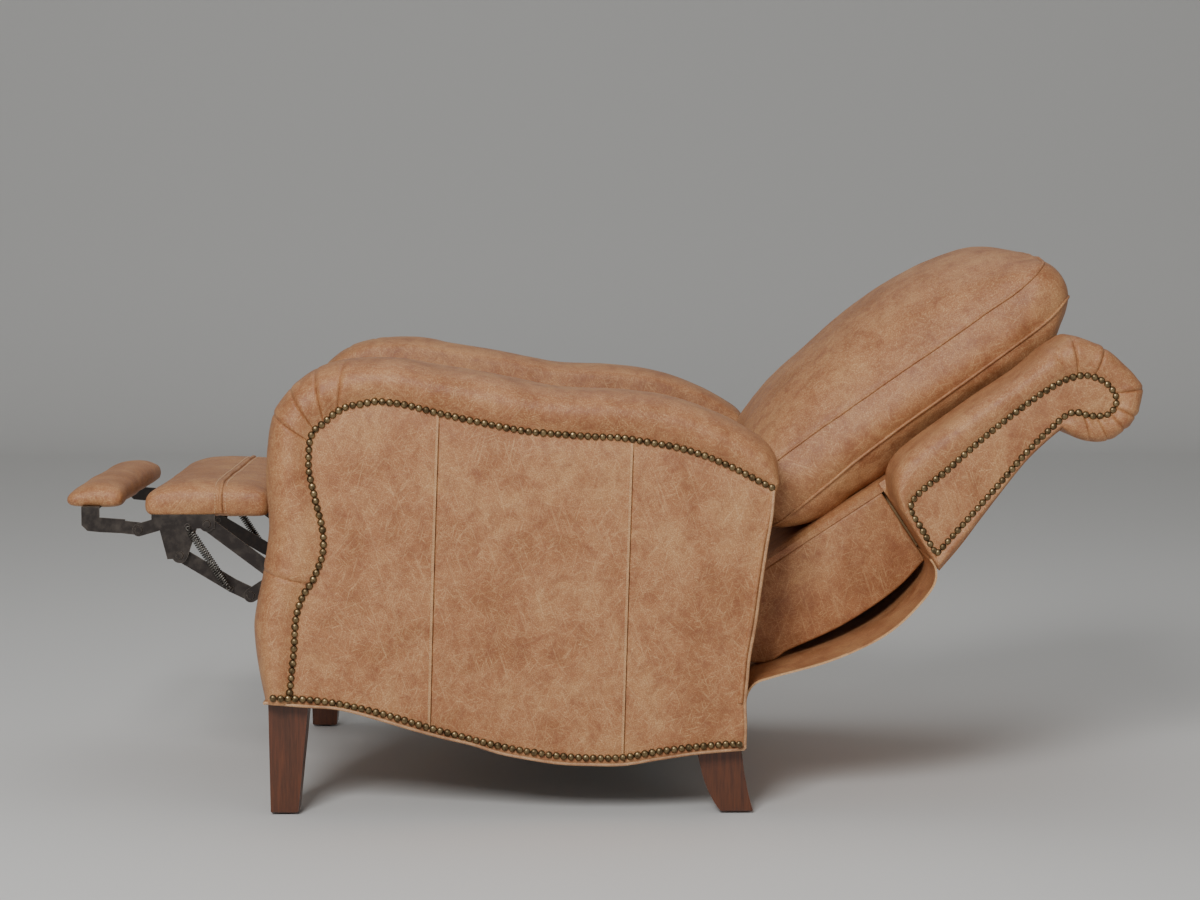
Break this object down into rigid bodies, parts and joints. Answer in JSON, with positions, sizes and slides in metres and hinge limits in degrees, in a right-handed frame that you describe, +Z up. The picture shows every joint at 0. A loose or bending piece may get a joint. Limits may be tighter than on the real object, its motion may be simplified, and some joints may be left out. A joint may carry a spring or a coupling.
{
  "type": "recliner armchair",
  "caption": "Leather push-back recliner armchair with scroll arms, a rolled back and a folding two-pad footrest on a pivoted steel linkage.",
  "frame": {"origin": "on the floor under the middle of the whole chair as it stands laid back with the footrest out", "axes": "+Z up, the chair faces -Y, +X is the sitter's left"},
  "size_m": [0.81, 1.6394, 0.8518],
  "materials": {
    "leather": "pebbled pull-up leather, tan brown, mottled",
    "leg_wood": "reddish brown stained hardwood, satin",
    "frame_wood": "bare planed hardwood",
    "mechanism_steel": "dark bronze painted pressed steel",
    "spring_steel": "drawn spring wire",
    "deck_cloth": "brown woven deck cloth",
    "dust_cloth": "black non-woven dust cloth",
    "glide_plastic": "moulded nylon"
  },
  "bodies": {
    "base": {"arm_frame_left": "frame_wood", "arm_frame_right": "frame_wood", "side_panel_left": "leather", "side_panel_right": "leather", "arm_padding_left": "leather", "arm_padding_right": "leather", "front_leg_left": "leg_wood", "front_leg_right": "leg_wood", "rear_leg_left": "leg_wood", "rear_leg_right": "leg_wood", "leg_glides": "glide_plastic", "leg_bolts": "mechanism_steel", "middle_rail": "frame_wood", "rear_rail": "frame_wood", "dust_cover": "dust_cloth", "base_plate_left": "mechanism_steel", "base_plate_right": "mechanism_steel"},
    "back": {"back_frame": "frame_wood", "lower_board_left": "leather", "lower_board_right": "leather", "inside_back": "leather", "outside_back": "leather", "back_body": "leather", "back_panel_left": "leather", "back_panel_right": "leather", "back_cushion": "leather", "back_bracket_left": "mechanism_steel", "back_bracket_right": "mechanism_steel", "back_flap": "leather"},
    "swing_links": {"swing_link_left": "mechanism_steel", "swing_link_right": "mechanism_steel"},
    "seat": {"seat_plate_left": "mechanism_steel", "seat_plate_right": "mechanism_steel", "cross_tube": "mechanism_steel", "seat_frame": "frame_wood", "seat_springs": "spring_steel", "seat_deck": "deck_cloth", "seat_cushion": "leather"},
    "main_links": {"main_link_left": "mechanism_steel", "main_link_right": "mechanism_steel"},
    "lower_links": {"lower_link_left": "mechanism_steel", "lower_link_right": "mechanism_steel"},
    "upper_links": {"upper_link_left": "mechanism_steel", "upper_link_right": "mechanism_steel"},
    "rear_links": {"rear_link_left": "mechanism_steel", "rear_link_right": "mechanism_steel"},
    "footrest": {"footrest_bracket_left": "mechanism_steel", "footrest_bracket_right": "mechanism_steel", "footrest_board": "frame_wood", "footrest_pad": "leather", "footrest_springs": "spring_steel"},
    "flip_out": {"flip_bracket_left": "mechanism_steel", "flip_bracket_right": "mechanism_steel", "flip_board": "frame_wood", "flip_pad": "leather"}
  },
  "joints": [
    {"name": "back_recline", "type": "hinge", "parent": "base", "child": "back", "pos_m": [0, 0.226, 0.312], "axis": [1, 0, 0], "range_deg": [0, 42], "deforming": ["back_flap"]},
    {"name": "swing_link_turn", "type": "hinge", "parent": "base", "child": "swing_links", "pos_m": [0, -0.13, 0.336], "axis": [1, 0, 0], "range_deg": [0, 42]},
    {"name": "seat_turn", "type": "hinge", "parent": "swing_links", "child": "seat", "pos_m": [0, -0.15, 0.284], "axis": [1, 0, 0], "range_deg": [-42, 0]},
    {"name": "footrest_fold", "type": "hinge", "parent": "seat", "child": "main_links", "pos_m": [0, -0.341, 0.33], "axis": [1, 0, 0], "range_deg": [0, 107.74]},
    {"name": "lower_link_turn", "type": "hinge", "parent": "main_links", "child": "lower_links", "pos_m": [0, -0.539, 0.319], "axis": [1, 0, 0], "range_deg": [-98.36, 0]},
    {"name": "footrest_turn", "type": "hinge", "parent": "lower_links", "child": "footrest", "pos_m": [0, -0.649, 0.382], "axis": [1, 0, 0], "range_deg": [0, 80.62], "deforming": ["footrest_springs"]},
    {"name": "upper_link_turn", "type": "hinge", "parent": "main_links", "child": "upper_links", "pos_m": [0, -0.4954, 0.3472], "axis": [1, 0, 0], "range_deg": [-93.63, 0]},
    {"name": "rear_link_turn", "type": "hinge", "parent": "seat", "child": "rear_links", "pos_m": [0, -0.313, 0.315], "axis": [1, 0, 0], "range_deg": [0, 107.1]},
    {"name": "flip_turn", "type": "hinge", "parent": "footrest", "child": "flip_out", "pos_m": [0, -0.712, 0.422], "axis": [1, 0, 0], "range_deg": [0, 188]}
  ],
  "couplings": [
    {"joint": "swing_link_turn", "follows": "back_recline", "ratio": 1},
    {"joint": "seat_turn", "follows": "back_recline", "ratio": -1},
    {"joint": "lower_link_turn", "follows": "footrest_fold", "ratio": -0.91294},
    {"joint": "footrest_turn", "follows": "footrest_fold", "ratio": 0.74828},
    {"joint": "upper_link_turn", "follows": "footrest_fold", "ratio": -0.86904},
    {"joint": "rear_link_turn", "follows": "footrest_fold", "ratio": 0.99406},
    {"joint": "flip_turn", "follows": "footrest_fold", "ratio": 1.7449}
  ]
}
